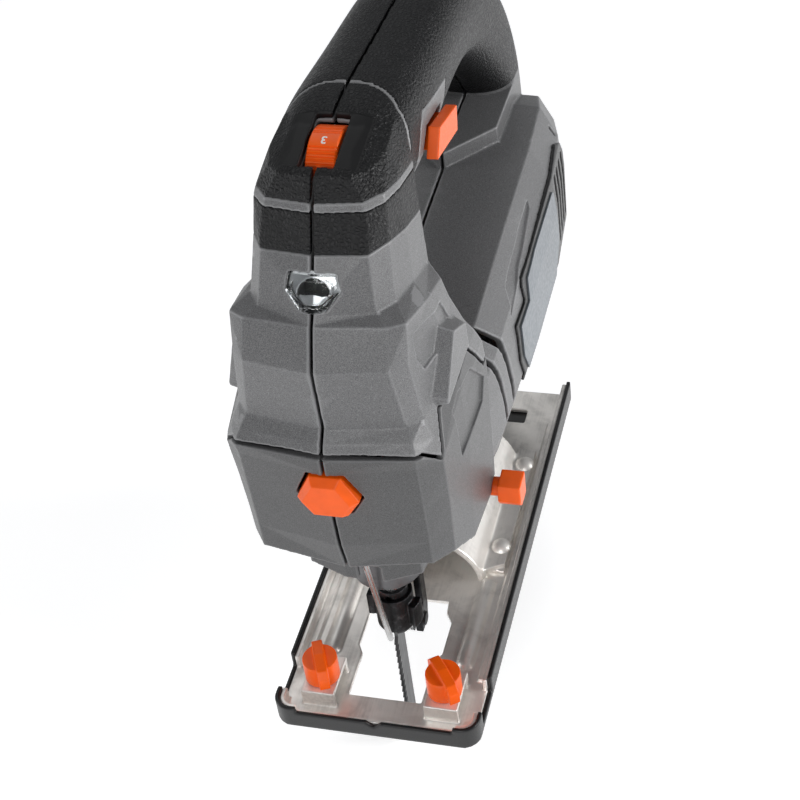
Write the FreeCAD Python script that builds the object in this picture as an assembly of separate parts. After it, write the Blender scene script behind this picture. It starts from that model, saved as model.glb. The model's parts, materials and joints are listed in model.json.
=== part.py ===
"""Corded jigsaw with a D-handle: clamshell body, tilting base, motor, gear train and blade.

Frame, millimetres: the blade line X = 0, Y = 0 meets the sole plane at the origin.
+Z is up, -Y is the cutting direction (the front), +X is the tool's left side.
"""
import FreeCAD
import Part
import math
import os

V = FreeCAD.Vector

# ---------------------------------------------------------------- driving dimensions
SEAM = 0.8                 # gap between the two clamshell halves
WALL = 2.6                 # housing wall
COVER_WALL = 2.2           # lower cover wall
SKIN = 2.0                 # rubber overmould
FIT = 0.05                 # radial running clearance
GAP = 0.3                  # clearance between parts of different bodies

BASE_HALF_W = 33.5         # outer half width of the shoe
BASE_FRONT = -35.9
BASE_REAR = 130.4
SHOE_FLOOR = 1.0
PLATE_TOP = 2.6
RIM_H = 8.7
RIM_T = 1.5
BRIDGE_X = (14.6, 25.6)
BRIDGE_Y = (-28.4, -12.6)
BRIDGE_Z = (7.2, 8.8)
KNOB = (20.1, -21.0)       # fence knob axis, X and Y
BLADE_OPENING = (-22.4, 21.0)
CORNER_R = 6.0             # front corners of the shoe
RIB_X = 22.4               # round stiffening ribs of the plate
RIB_R = 3.3
RIB_Y = (-4.5, 31.5)
RIB_Z = 1.2

ARCH_IN = 19.0             # bevel arch radii about the tilt axis (the Y axis)
ARCH_OUT = 21.0
ARCH_Y = (32.0, 92.0)
FOOT_HALF_W = 10.0
FOOT_TOP = 46.0
DUST_Z = 33.0
DUST_R = 6.5

MOTOR_Z = 86.0             # armature axis height
MODULE = 0.8
PINION_TEETH = 10
GEAR_TEETH = 48
GEAR_Z = MOTOR_Z + MODULE * (PINION_TEETH + GEAR_TEETH) / 2
CRANK_R = 10.0             # half the 20 mm stroke
SHAFT_R = 4.0
BEARING_R = 9.5
CORE_R = 17.6              # armature core; the stator bore leaves an air gap round it
CORE_Y = (50.0, 96.0)
CORE_SLOTS = 12
COMMUTATOR_R = 9.0
COMMUTATOR_BARS = 24
FAN_R = 21.0
FAN_Y = (28.5, 39.5)
FAN_VANES = 11
ROD_R = 4.0                # plunger rod
ROD_Z = (31.0, 140.0)
YOKE_Z = GEAR_Z - CRANK_R  # yoke centre at the lowest blade position

CLAMP_Z = (14.0, 33.0)
CLAMP_R = 5.0
COLLAR_R = 6.3
BLADE_TOP = 31.0
BLADE_LEN = 75.0
BLADE_Y = (-5.0, 3.0)
BLADE_T = 1.2
TOOTH_PITCH = 3.0
ROLLER_R = 4.5
ROLLER_C = (7.65, 8.6)     # roller centre, Y and Z
FORK_HALF_W = 6.4
FORK_PIN = (11.5, 59.5)     # swing axis of the fork, Y and Z
FORK_PIN_R = 1.5
ROLLER_PIN_R = 1.2

DIAL_C = (6.0, 183.6)      # speed dial axis, Y and Z
DIAL_R = 12.0
DIAL_W = 8.3
LEVER_C = (20.0, 60.5)     # pendulum lever axis, Y and Z
DIAL_RIBS = 40
LEVER_SHAFT_R = 3.0
TRIGGER_Y = (37.0, 66.0)
BUTTON_GAP = 0.8           # dark gap round the lamp button
GLAND_Z = 128.0
GLAND_R = 6.5

GUARD_R = 1.0              # wire guard radius and its line from the tip to the cover
GUARD_LINE = ((0, -8.6, 16.0), (0, -21.5, 74.0))
# Clamshell screws: Y, Z and the depth of the head seat in the right flank.
SCREWS = [(44, 64, 20), (112, 62, 20), (147, 106, 20), (10, 157.5, 14), (142, 147, 10), (100, 176, 10)]
SCREW_HEAD_R = 3.2         # counterbore radius
SCREW_BOSS_R = 3.9


# ---------------------------------------------------------------- shape helpers
def box(x0, x1, y0, y1, z0, z1):
    return Part.makeBox(x1 - x0, y1 - y0, z1 - z0, V(x0, y0, z0))


def cyl(radius, start, end):
    """Cylinder of the radius between two points."""
    a = V(*start)
    d = V(*end) - a
    return Part.makeCylinder(radius, d.Length, a, d)


def ring(r_in, r_out, start, end):
    return cyl(r_out, start, end).cut(cyl(r_in, start, end))


def prism(points, axis, lo, hi):
    """Extrude a polygon: its points are the two coordinates other than axis, in X, Y, Z order."""
    place = {"X": lambda p: V(lo, p[0], p[1]),
             "Y": lambda p: V(p[0], lo, p[1]),
             "Z": lambda p: V(p[0], p[1], lo)}[axis]
    push = {"X": V(hi - lo, 0, 0), "Y": V(0, hi - lo, 0), "Z": V(0, 0, hi - lo)}[axis]
    corners = [place(p) for p in points]
    wire = Part.makePolygon(corners + corners[:1])
    return Part.Face(wire).extrude(push)


def mirrored(points):
    """A half outline on the +X side, from front centre to rear centre, made whole."""
    back = [(-p[0],) + tuple(p[1:]) for p in reversed(points[1:-1])]
    return [tuple(p) for p in points] + back


def faceted(rings, top_apex, bottom_apex):
    """Closed faceted solid through rings of corner points, with a fan of facets at each end."""
    faces = []

    def facet(a, b, c):
        faces.append(Part.Face(Part.makePolygon([a, b, c, a])))

    loops = [[V(*p) for p in r] for r in rings]
    count = len(loops[0])
    for low, high in zip(loops, loops[1:]):
        for i in range(count):
            j = (i + 1) % count
            if low[i].x >= 0 and low[j].x >= 0:
                facet(low[i], low[j], high[j])
                facet(low[i], high[j], high[i])
            else:
                facet(low[i], low[j], high[i])
                facet(low[j], high[j], high[i])
    for loop, apex in ((loops[0], V(*bottom_apex)), (loops[-1], V(*top_apex))):
        for i in range(count):
            facet(loop[i], loop[(i + 1) % count], apex)
    shell = Part.makeShell(faces)
    shell.sewShape()
    solid = Part.Solid(shell)
    if solid.Volume < 0:
        solid.reverse()
    return solid


def inset_ring(points, t):
    """Move every corner of a roughly horizontal ring inwards by t along its corner's bisector."""
    flat = [V(p[0], p[1], 0) for p in points]
    out = []
    count = len(flat)
    for i in range(count):
        a = (flat[i] - flat[i - 1]).normalize()
        b = (flat[(i + 1) % count] - flat[i]).normalize()
        na = V(-a.y, a.x, 0)
        nb = V(-b.y, b.x, 0)
        bis = (na + nb).normalize()
        step = bis * (t / max(0.5, bis.dot(na)))
        out.append((flat[i].x + step.x, flat[i].y + step.y, points[i][2]))
    return out


def superellipse(half_w, half_h, power, count=20):
    """Points of a squared-off ellipse."""
    out = []
    for k in range(count):
        a = 2 * math.pi * k / count
        c = math.cos(a)
        s = math.sin(a)
        out.append((math.copysign(abs(c) ** (2 / power), c) * half_w,
                    math.copysign(abs(s) ** (2 / power), s) * half_h))
    return out


def section(centre_y, centre_z, tilt, half_w, half_h, power=2.6):
    """Closed smooth section wire; tilt turns its normal from +Y towards -Z, in degrees."""
    t = math.radians(tilt)
    up = V(0, math.sin(t), math.cos(t))
    base = V(0, centre_y, centre_z)
    pts = [base + V(x, 0, 0) + up * h for x, h in superellipse(half_w, half_h, power)]
    curve = Part.BSplineCurve()
    curve.interpolate(pts, PeriodicFlag=True)
    return Part.Wire(curve.toShape())


def halves(shape):
    """Cut a shape into its left (+X) and right (-X) parts with the seam gap between."""
    far = 400
    left = shape.common(box(SEAM / 2, far, -far, far, -far, far))
    right = shape.common(box(-far, -SEAM / 2, -far, far, -far, far))
    return left, right


def save(name, shape):
    """Write one node; a lone solid is written as itself."""
    if shape.ShapeType == "Compound" and len(shape.Solids) == 1:
        shape = shape.Solids[0]
    shape.exportStep("parts/" + name + ".step")


def group(shapes):
    return Part.makeCompound(shapes)


# ---------------------------------------------------------------- outer forms
# Front tower: corner rings from the bottom of the gear end to the nose.
# Each row: front centre, first ridge, second ridge, side, side rear, rear corner, rear centre.
TOWER = [
    [(0, -32.7, 74.8), (25.3, -30.5, 78), (30.1, -23.6, 77), (31, -5.9, 64.7),
     (31, 22, 60), (20, 28, 60), (0, 28, 60)],
    [(0, -35.3, 86.3), (25.3, -30.8, 87), (30.3, -24, 87), (31.3, -5, 86),
     (31.6, 22, 86), (20, 28, 86), (0, 28, 86)],
    [(0, -36.3, 101), (25.2, -31.8, 101), (30.7, -25, 101), (31.8, -4, 101),
     (32, 22, 101), (20, 28, 101), (0, 28, 101)],
    [(0, -37.4, 116), (25.1, -33.2, 117), (30.9, -26.5, 112), (32, -4, 114),
     (32, 21, 111), (20, 27, 111), (0, 27, 111)],
    [(0, -37.4, 120.7), (25.6, -34.1, 121.8), (31, -27, 116.5), (32, -5, 121),
     (31.5, 20, 119), (20, 26, 119), (0, 26, 119)],
    [(0, -35.2, 124.8), (24.3, -31.6, 124.8), (28.6, -25.8, 122.3), (31, -4.5, 127),
     (30.5, 17, 125), (20, 25, 125), (0, 25, 125)],
    [(0, -32.3, 128.1), (22.5, -28.6, 128.1), (26, -24.3, 128), (29.5, -4, 131.5),
     (29, 14, 130), (20, 24, 130), (0, 24, 130)],
    [(0, -33.1, 147.5), (20, -29.7, 147.5), (24.1, -25.1, 147), (27.5, -4.5, 146),
     (26.5, 9, 143), (17, 21, 143), (0, 21, 143)],
    [(0, -27.6, 158.8), (19.6, -24.9, 158.3), (24.1, -22.1, 158), (25.5, -8, 154.5),
     (25.2, 8, 149.6), (16, 20.5, 149), (0, 20.5, 149)],
    [(0, -25.9, 160.9), (16.1, -21.4, 159.9), (19.9, -15.6, 159.6), (21.3, -4, 157.6),
     (20.4, 13.7, 151), (14, 20, 151), (0, 20, 151)],
    [(0, -17.9, 175.4), (14.4, -16.3, 175.4), (18.3, -10.1, 174.7), (19.5, 0, 174),
     (19.5, 14, 172), (13, 19.5, 172), (0, 19.5, 172)],
    [(0, -13.3, 185.4), (13.7, -11.6, 184.5), (17.6, -7, 184.3), (18.6, 2, 184),
     (18.6, 16, 184), (13, 22, 184), (0, 22, 184)],
    [(0, -12.5, 187.1), (13, -11, 186.4), (17.2, -6.2, 186), (18.2, 3, 186),
     (18.2, 16, 186), (13, 22, 186), (0, 22, 186)],
    [(0, -9.1, 192.8), (9.5, -8.2, 192.3), (13.5, -3.5, 191.5), (15.5, 5, 192),
     (15, 17, 193.5), (10, 22, 194), (0, 22, 194)],
    [(0, -4.5, 193.6), (5, -4, 193.6), (8, 0, 194), (9, 8, 195.2),
     (8.5, 16, 196), (6, 20, 196), (0, 20, 196)],
]

# Motor body: Y, half width, bottom Z, top Z.
BODY = [(13, 30.2, 60, 107), (36, 32.0, 55.5, 111.5), (80, 32.8, 54, 117), (120, 32.8, 54.5, 119),
        (146, 31.0, 57, 118.5), (159, 27.0, 63.5, 114.5), (166.5, 20.5, 72.5, 107)]

# Half section of the motor body as shares of its half width and half height, from the top down.
BODY_FACETS = [(0, 1), (0.79, 0.96), (0.975, 0.6), (1, 0.2), (1, -0.45), (0.9, -0.82), (0.62, -1),
               (0, -1)]

# Handle and rear column: centre Y, centre Z, tilt, half width, half height.
HANDLE = [(2, 182.5, 0, 15.5, 10.5), (20, 182.3, 0, 18.2, 15.4), (45, 181.0, 0, 18.0, 15.6),
          (75, 180.0, 3, 17.0, 15.0), (103, 175.0, 18, 16.5, 15.2), (128, 160.5, 42, 16.0, 15.2),
          (146, 141.0, 58, 15.5, 14.2), (156.5, 121.0, 76, 15.0, 12.4), (158, 106.0, 88, 15.0, 11.6)]

POD_BASE = [(-20, 124), (-20, 132.5), (-6, 146), (10, 139), (11, 124)]
POD_FACE = [(-17.7, 124), (-17.2, 128.4), (-4.8, 142.3), (6.5, 136), (8, 124)]


def tower(t=0.0):
    rings = []
    for i, row in enumerate(TOWER):
        full = mirrored(row)
        if t:
            full = inset_ring(full, t)
            lift = t if i == 0 else (-t if i >= len(TOWER) - 2 else 0)
            full = [(p[0], p[1], p[2] + lift) for p in full]
        rings.append(full)
    return faceted(rings, (0, 8, 196.4 - t), (0, 4, 63.5 + t))


def body(t=0.0):
    """Motor body with a flat top, a crisp shoulder ridge and slanted flanks."""
    wires = []
    for y, half_w, z0, z1 in BODY:
        y_in = y + t if y == BODY[0][0] else (y - t if y == BODY[-1][0] else y)
        middle = (z0 + z1) / 2
        half = (z1 - z0) / 2 - t
        corners = [V(x * (half_w - t), y_in, middle + z * half) for x, z in mirrored(BODY_FACETS)]
        wires.append(Part.makePolygon(corners + corners[:1]))
    return Part.makeLoft(wires, True, True)


def handle(t=0.0):
    wires = [section(y, z, tilt, w - t, h - t) for y, z, tilt, w, h in HANDLE]
    return Part.makeLoft(wires, True, False)


def pod():
    sides = []
    for side in (1, -1):
        low = Part.makePolygon([V(side * 22, y, z) for y, z in POD_BASE + POD_BASE[:1]])
        high = Part.makePolygon([V(side * 31.2, y, z) for y, z in POD_FACE + POD_FACE[:1]])
        sides.append(Part.makeLoft([low, high], True, True))
    return sides


def spine(t=0.0):
    """Raised block on the body under the rear column, with a pointed front."""
    w = 15 - t
    return prism([(0, 104.5 + t), (w, 122), (w, 158), (-w, 158), (-w, 122)], "Z", 106, 124 - t)


def pedestal(t=0.0):
    """Boss under the motor body that carries the metal foot."""
    return box(-16 + t, 16 - t, 27 + t, 104 - t, FOOT_TOP, 62)


# Side view outlines of shallow recesses: the slanted panel on the bulge, the cover's window and
# the strip on the motor body.
BULGE_RECESS = [(0.5, 147.5), (4.5, 137.8), (-17.5, 139.3), (-20.5, 145), (-19.5, 152)]
COVER_RECESS = [(4.6, 121.2), (17, 107.8), (13.2, 101.5), (-11, 102.4), (-14.5, 121.6), (-8.5, 123.6)]
BODY_STRIP = [(101, 111.2), (98.5, 109.3), (72.6, 105.2), (57.5, 99.5), (55, 99.5), (60.6, 106.6),
              (66.5, 107.9), (84.6, 110.4)]
RECESS_DEPTH = 0.9

# Side view outline of the region that the two lower cover shells fill.
COVER_LINE = [(-60, 120.2), (-34.6, 121.2), (-31.5, 120.8), (-27, 115.7), (-17.7, 126.0),
              (6.4, 126.4), (17.8, 111.2), (21.0, 111.7), (22.6, 52), (-60, 52)]
COVER_LINE_OUT = [(-60, 121.2), (-34.6, 122.2), (-31.3, 121.8), (-26.9, 117.2), (-18.1, 127.0),
                  (7.0, 127.4), (18.3, 112.4), (21.9, 112.8), (23.6, 52), (-60, 52)]

# Side view outlines of the rubber: the grip wraps the band, handle and column; the cap tops the nose.
GRIP_ZONE = [(-60, 175.3), (-10, 174.5), (16.5, 167), (20, 150), (60, 135), (120, 124.6),
             (200, 124.6), (200, 230), (31, 230), (29.9, 199), (22, 193.2), (18.4, 186.5),
             (17.2, 180), (16.6, 179.4), (-7, 184.2), (-60, 185)]
CAP_ZONE = [(-60, 186.9), (-7, 186.5), (16.1, 181.7), (17.3, 187), (21, 193.6), (29, 199.2),
            (29, 230), (-60, 230)]
INLAY = [(59, 180.5), (31.5, 186.8), (27, 184), (21, 172.5), (30, 171), (45, 170.5), (56, 174)]

# Curved air slots in the grey side wall and the outline of the dark side panel, side view.
VENTS = [[(28.9, 117.5), (31.2, 116.5), (43.5, 99), (50.4, 78), (51.6, 66), (48.2, 66),
          (47, 78), (41, 96.5), (30.5, 113.5)],
         [(26, 109.5), (28, 108), (35.5, 94), (40.6, 76), (41.2, 68), (38.2, 68),
          (37.4, 78), (32.8, 94), (27, 105.8)]]
PANEL = [(137, 108.5), (114, 107), (69, 103.8), (68.2, 101), (69.5, 94.7), (56.4, 94.5), (58, 79),
         (64, 66), (140, 66), (152, 78), (150, 96), (143, 105.5)]
LABEL = [(116.5, 103.4), (86, 102.6), (73.6, 100.4), (72.4, 92.4), (59.6, 92.0), (61, 79), (66, 70),
         (112, 70), (121, 82), (118, 102)]
REAR_VENTS = [[(142.6, 111), (144.4, 111), (145.0, 107.5), (143.2, 107.5)],
              [(148.4, 106.6), (150.2, 106.6), (150.6, 103.2), (148.8, 103.2)]]
PANEL_SLOTS = [[(y, 104 - (y - 126) * 0.1), (y + 2.4, 103.8 - (y - 126) * 0.1), (y + 5.4, 76),
                (y + 3, 76)] for y in (123.5, 129, 134.5, 140)]


def recessed(shape, outline, depth, x0):
    """Let a side view outline into both flanks of the tower."""
    skin = tower().cut(tower(depth)).fuse(tower(-0.6).cut(tower()))
    zone = prism(outline, "X", x0, 60).fuse(prism(outline, "X", -60, -x0))
    return shape.cut(skin.common(zone))


def rubber_parts():
    """Skins of rubber over the nose, handle and column."""
    skin = tower().fuse(handle()).cut(tower(SKIN).fuse(handle(SKIN)))
    inlay = prism(INLAY, "X", 6, 60).fuse(prism(INLAY, "X", -60, -6))
    grip = skin.common(prism(GRIP_ZONE, "X", -60, 60).cut(inlay))
    cap = skin.common(prism(CAP_ZONE, "X", -60, 60))
    cap = cap.cut(dial_window())
    grip = grip.cut(trigger_slot()).cut(lock_stem(0.4, 8, 30))
    for y, z, depth in SCREWS:
        grip = grip.cut(cyl(SCREW_HEAD_R, (-60, y, z), (-depth, y, z)))
    grip = grip.cut(cyl(GLAND_R + 0.05, (0, 155, GLAND_Z), (0, 185, GLAND_Z)))
    return grip, cap


def dial_window():
    return box(-DIAL_W / 2 - 0.6, DIAL_W / 2 + 0.6, -6.2, 13.0, 175, 205)


def trigger_slot():
    return box(-9.4, 9.4, TRIGGER_Y[0] - 0.6, TRIGGER_Y[1] + 0.6, 150, 172)


def housing_parts(grip, cap):
    """Both clamshell halves: grey shell with ducts, slots, openings and screw towers."""
    shell = tower().fuse(handle()).cut(grip).cut(cap)
    shell = recessed(shell, BULGE_RECESS, RECESS_DEPTH, 21)
    flank = body().cut(body(RECESS_DEPTH))
    strip = prism(BODY_STRIP, "X", 15, 60).fuse(prism(BODY_STRIP, "X", -60, -15))
    shell = shell.fuse([body().cut(flank.common(strip)), spine(), pedestal()] + pod())
    shell = shell.cut(prism(COVER_LINE_OUT, "X", -60, 60).cut(box(-60, 60, 60, 200, 0, 300)))
    hollow = tower(SKIN + 2.4).fuse([handle(SKIN + 2.4), body(WALL), spine(WALL)])
    hollow = hollow.fuse(tower(WALL).common(box(-60, 60, -60, 60, 0, 172)))
    shell = shell.cut(hollow)
    # Openings: dial, lens, lock button, trigger, plunger foot side and cord inlet.
    shell = shell.cut(dial_window())
    shell = shell.cut(cyl(DIAL_R + 0.5, (-DIAL_W / 2 - 0.6, *DIAL_C), (DIAL_W / 2 + 0.6, *DIAL_C)))
    shell = shell.cut(trigger_slot())
    shell = shell.cut(lens_outline(0.15, -40, -8))
    shell = shell.cut(lock_stem(0.4, 8, 30))
    shell = shell.cut(cyl(LEVER_SHAFT_R + 0.35, (20, *LEVER_C), (40, *LEVER_C)))
    shell = shell.cut(cyl(GLAND_R + 0.05, (0, 160, GLAND_Z), (0, 185, GLAND_Z)))
    for outline in VENTS:
        shell = shell.cut(prism(outline, "X", 20, 40)).cut(prism(outline, "X", -40, -20))
    for outline in PANEL_SLOTS:
        shell = shell.cut(prism(outline, "X", 20, 40)).cut(prism(outline, "X", -40, -20))
    for outline in REAR_VENTS:
        shell = shell.cut(prism(outline, "X", 20, 40))
    # Seats that hold the stator and the rear bearing.
    ribs = []
    for y0, y1, hole in ((53, 55.5, 24.6), (90, 92.5, 24.6), (124.2, 130.8, BEARING_R)):
        rib = body(WALL - 0.3).common(box(-40, 40, y0, y1, 40, 130))
        ribs.append(rib.cut(cyl(hole, (0, y0 - 1, MOTOR_Z), (0, y1 + 1, MOTOR_Z))))
    shell = shell.fuse(ribs)
    solid_form = tower(SKIN + 0.5).fuse([handle(SKIN + 0.5), body(1)])
    for y, z, depth in SCREWS:
        shell = shell.fuse(cyl(SCREW_BOSS_R, (-40, y, z), (40, y, z)).common(solid_form))
        shell = shell.cut(cyl(1.6, (-40, y, z), (9, y, z)))
        shell = shell.cut(cyl(SCREW_HEAD_R, (-60, y, z), (-depth, y, z)))
    return halves(shell)


def lens_outline(grow, y0, y1):
    """Shield shaped prism for the lamp lens in the front of the neck."""
    g = grow
    return prism([(-6.3 - g, 170.4 + g), (-7.2 - g, 166), (-3.5 - g, 161.8 - g), (3.5 + g, 161.8 - g),
                  (7.2 + g, 166), (6.3 + g, 170.4 + g)], "Y", y0, y1)


def lock_stem(grow, x0, x1):
    """Slanted bar of the lock button through the left handle wall."""
    g = grow
    return prism([(33 - g, 181 + g), (28 - g, 174 - g), (50 + g, 169.3 - g), (51.5 + g, 176.6 + g)],
                 "X", x0, x1)


def lower_cover():
    """Front lower cover shells, split at the seam, open round the lamp switch."""
    shell = tower().common(prism(COVER_LINE, "X", -60, 60)).cut(tower(COVER_WALL))
    shell = recessed(shell, COVER_RECESS, RECESS_DEPTH, 27)
    shell = shell.fuse(shroud())
    shell = shell.cut(switch_outline(BUTTON_GAP, -60, -20))
    shell = shell.cut(cyl(9.6, (0, 0, 50), (0, 0, 80)))
    shell = shell.cut(box(-5.8, 5.8, 4, 16, 50, 72))
    shell = shell.cut(cyl(GUARD_R + FIT, *GUARD_LINE))
    shell = shell.cut(cyl(LEVER_SHAFT_R + 0.35, (5, *LEVER_C), (45, *LEVER_C)))
    return halves(shell)


def shroud():
    """Faceted skirt below the cover, open at the back and notched for the wire guard."""
    def outline(t):
        return mirrored([(0, -20.2 + t), (6, -20.2 + t), (17.4 - t, -18.2 + t), (19.4 - t, -6),
                         (19.4 - t, 4), (0, 4)])
    skirt = prism(outline(0), "Z", 56, 68).cut(prism(outline(2.0), "Z", 50, 70))
    skirt = skirt.cut(box(-18, 18, 1, 8, 50, 70)).cut(box(-2.2, 5, -24, -16, 50, 62))
    for side in (1, -1):
        chamfer = [(side * 6, 50), (side * 6, 56), (side * 17.5, 59.5), (side * 24, 61), (side * 24, 50)]
        skirt = skirt.cut(prism(chamfer, "Y", -30, 10))
    return skirt.common(tower().fuse(box(-30, 30, -24, 8, 50, 66.5)))


def switch_outline(grow, y0, y1):
    g = grow
    return prism([(-4.5 - g, 114.6 + g), (-8.9 - g, 106.4), (-5.1 - g, 100.8 - g),
                  (5.1 + g, 100.8 - g), (8.9 + g, 106.4), (4.5 + g, 114.6 + g)], "Y", y0, y1)


def light_button():
    """Six sided push button with a raised, faceted front."""
    low = [(-4.5, 114.6), (-8.9, 106.4), (-5.1, 100.8), (5.1, 100.8), (8.9, 106.4), (4.5, 114.6)]
    high = [(-3.3, 112.6), (-6.9, 106.5), (-4.0, 102.2), (4.0, 102.2), (6.9, 106.5), (3.3, 112.6)]
    stem = switch_outline(0, -37.0, -31)
    wires = [Part.makePolygon([V(x, y, z) for x, z in pts + pts[:1]])
             for y, pts in ((-37.0, low), (-39.2, high))]
    head = Part.makeLoft(wires, True, True)
    plunger = box(-3, 3, -31, -27.5, 104, 110)
    return head.fuse([stem, plunger]).removeSplitter()


def lamp():
    """Lens, reflector and lamp board in the neck."""
    body_lens = tower().common(lens_outline(0, -40, -8)).cut(tower(1.8))
    rim = tower(-0.5).common(lens_outline(0, -40, -8)).cut(tower(0.5))
    rim = rim.cut(lens_outline(-1.4, -40, -8))
    lens = body_lens.fuse(rim)
    reflector = tower(2.0).common(lens_outline(-0.4, -40, -8)).cut(tower(5.5))
    bowl = Part.makeCone(2.0, 4.6, 8, V(0, -13.5, 165.8), V(0, -8, -1.5))
    reflector = reflector.cut(bowl)
    board = box(-7, 7, -13.6, -12.4, 159, 172)
    led = cyl(1.9, (0, -14.6, 165.8), (0, -13.6, 165.8))
    return lens, reflector, board.fuse(led)


def speed_dial():
    """Ribbed thumb wheel on an X axis."""
    y, z = DIAL_C
    half = DIAL_W / 2
    pts = []
    for k in range(DIAL_RIBS):
        for turn, radius in ((0.0, DIAL_R), (0.25, DIAL_R), (0.5, DIAL_R - 0.6), (0.75, DIAL_R - 0.6)):
            a = 2 * math.pi * (k + turn) / DIAL_RIBS
            pts.append((y + radius * math.cos(a), z + radius * math.sin(a)))
    wheel = prism(pts, "X", -half, half)
    return wheel.cut(cyl(2 + FIT, (-half - 1, y, z), (half + 1, y, z)))


def dial_carrier():
    """Fixed pin and control board under the dial."""
    y, z = DIAL_C
    pin = cyl(2, (-DIAL_W / 2 - 2.5, y, z), (DIAL_W / 2 + 2.5, y, z))
    cheeks = [box(s * (DIAL_W / 2 + 1.6) - 0.8, s * (DIAL_W / 2 + 1.6) + 0.8, y - 5, y + 5, 164, z + 4)
              for s in (1, -1)]
    board = box(-9, 9, -4, 16, 162.4, 164)
    return group([cheeks[0].fuse([cheeks[1], board, pin])])


def trigger():
    """Rocking finger trigger below the handle front, with its stem."""
    y0, y1 = TRIGGER_Y
    outline = [(y0, 162), (y0, 166.5), (y1, 167.5), (y1, 163), (y1 - 4, 158.2), (y1 - 13, 156.2),
               (y0 + 6, 156.8)]
    pad = prism(outline, "X", -8.8, 8.8)
    return pad.fuse(box(-5, 5, y0 + 6, y1 - 6, 166, 168.4))


def lock_button():
    """Slanted lock button on the left of the handle."""
    head = lock_stem(0, 18.6, 22)
    stem = prism([(35, 178.6), (31.5, 174.5), (48, 171.2), (49, 175.6)], "X", 12.6, 18.6)
    return head.fuse(stem)


def switch_body():
    return box(-9, 9, 34, 68, 175, 187)


def pendulum_lever():
    """Selector block on a cross shaft with a flat cam at its inner end."""
    y, z = LEVER_C
    block = prism([(y - 4.6, z + 4.4), (y + 3.4, z + 4.4), (y + 3.4, z - 4.4), (y - 3, z - 4.4),
                   (y - 4.6, z - 2)], "X", 33, 40.2)
    shaft = cyl(LEVER_SHAFT_R, (12, y, z), (33, y, z))
    cam = cyl(2.2, (8.4, y, z), (12, y, z)).common(box(8, 12, y - 3, y + 3, z - 3, z + 1.2))
    return block.fuse([shaft, cam])


# ---------------------------------------------------------------- gear end
def gear_case():
    """Cast frame: mid wall with bearing seats, two arms with plunger bores, and the blade end nose."""
    wall = box(-21, 21, 20, 23.8, 66, 97).fuse([box(-12, 12, 20, 23.8, 96, 115.5),
                                               box(-8.5, 8.5, 19.6, 20.5, 115, 133)])
    arms = box(-8.5, 8.5, -8.5, 19.7, 131, 137).fuse(box(-8.5, 8.5, -8.5, 20, 71.8, 77))
    nose = cyl(9, (0, 0, 57), (0, 0, 72))
    lug = box(-5.4, 5.4, 7, 15.6, 57, 72)
    bell = ring(10.2, 11.6, (0, 0, 42), (0, 0, 59)).fuse(ring(8.0, 11.6, (0, 0, 58), (0, 0, 60)))
    bell = bell.cut(box(-7.4, 7.4, 3, 20, 40, 62))
    case = wall.fuse([arms, nose, lug, bell])
    case = case.cut(cyl(6.0, (0, 0, 50), (0, 0, 80))).cut(cyl(6.0, (0, 0, 125), (0, 0, 140)))
    case = case.cut(cyl(BEARING_R, (0, 16, MOTOR_Z), (0, 26, MOTOR_Z)))
    case = case.cut(cyl(SHAFT_R, (0, 16, GEAR_Z), (0, 26, GEAR_Z)))
    case = case.cut(box(-4.4, 4.4, 7.5, 17, 55, 62.5))
    case = case.cut(cyl(FORK_PIN_R, (-9, *FORK_PIN), (9, *FORK_PIN)))
    return case


def bushes():
    """Plunger bushes in the two arms."""
    return group([ring(ROD_R + FIT, 6.0, (0, 0, 62.7), (0, 0, 77)),
                  ring(ROD_R + FIT, 6.0, (0, 0, 131), (0, 0, 137))])


def gear_wheel(teeth, centre_z, y0, y1, phase):
    """Spur wheel with straight flanked teeth; phase turns it by a share of one tooth pitch."""
    pitch_r = MODULE * teeth / 2
    root = pitch_r - 1.05 * MODULE
    tip = pitch_r + 0.8 * MODULE
    pts = []
    for k in range(teeth):
        for turn, radius in ((-0.27, root), (-0.11, tip), (0.11, tip), (0.27, root)):
            a = 2 * math.pi * (k + phase + turn) / teeth
            pts.append((radius * math.cos(a), centre_z + radius * math.sin(a)))
    return prism(pts, "Y", y0, y1)


def drive_gear():
    """Large wheel with lightening holes, balance weight and crank pin."""
    wheel = gear_wheel(GEAR_TEETH, GEAR_Z, 11.5, 17.4, 0.5)
    hub = cyl(8, (0, 17.4, GEAR_Z), (0, 19.4, GEAR_Z))
    pin = cyl(3, (0, 8.9, YOKE_Z), (0, 11.5, YOKE_Z))
    wheel = wheel.fuse([hub, pin])
    for a in (30, 90, 150):
        x = 13 * math.cos(math.radians(a))
        z = GEAR_Z + 13 * math.sin(math.radians(a))
        wheel = wheel.cut(cyl(3, (x, 10, z), (x, 18, z)))
    return wheel.cut(cyl(SHAFT_R + FIT, (0, 8, GEAR_Z), (0, 22, GEAR_Z)))


def plunger_parts():
    """Round rod, scotch yoke and blade holder."""
    rod = cyl(ROD_R, (0, 0, CLAMP_Z[1]), (0, 0, ROD_Z[1]))
    yoke = box(-14.5, 14.5, 2.0, 8.5, YOKE_Z - 6.2, YOKE_Z + 6.2)
    yoke = yoke.cut(box(-13.2, 13.2, 4.2, 9, YOKE_Z - 3.1, YOKE_Z + 3.1))
    yoke = yoke.cut(cyl(ROD_R, (0, 0, 80), (0, 0, 120)))
    holder = cyl(CLAMP_R, (0, 0, CLAMP_Z[0]), (0, 0, CLAMP_Z[1]))
    holder = holder.cut(box(-BLADE_T / 2 - 0.1, BLADE_T / 2 + 0.1, BLADE_Y[0] - 1, BLADE_Y[1] + 0.2,
                            CLAMP_Z[0] - 1, BLADE_TOP + 0.2))
    return rod, yoke, holder


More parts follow.
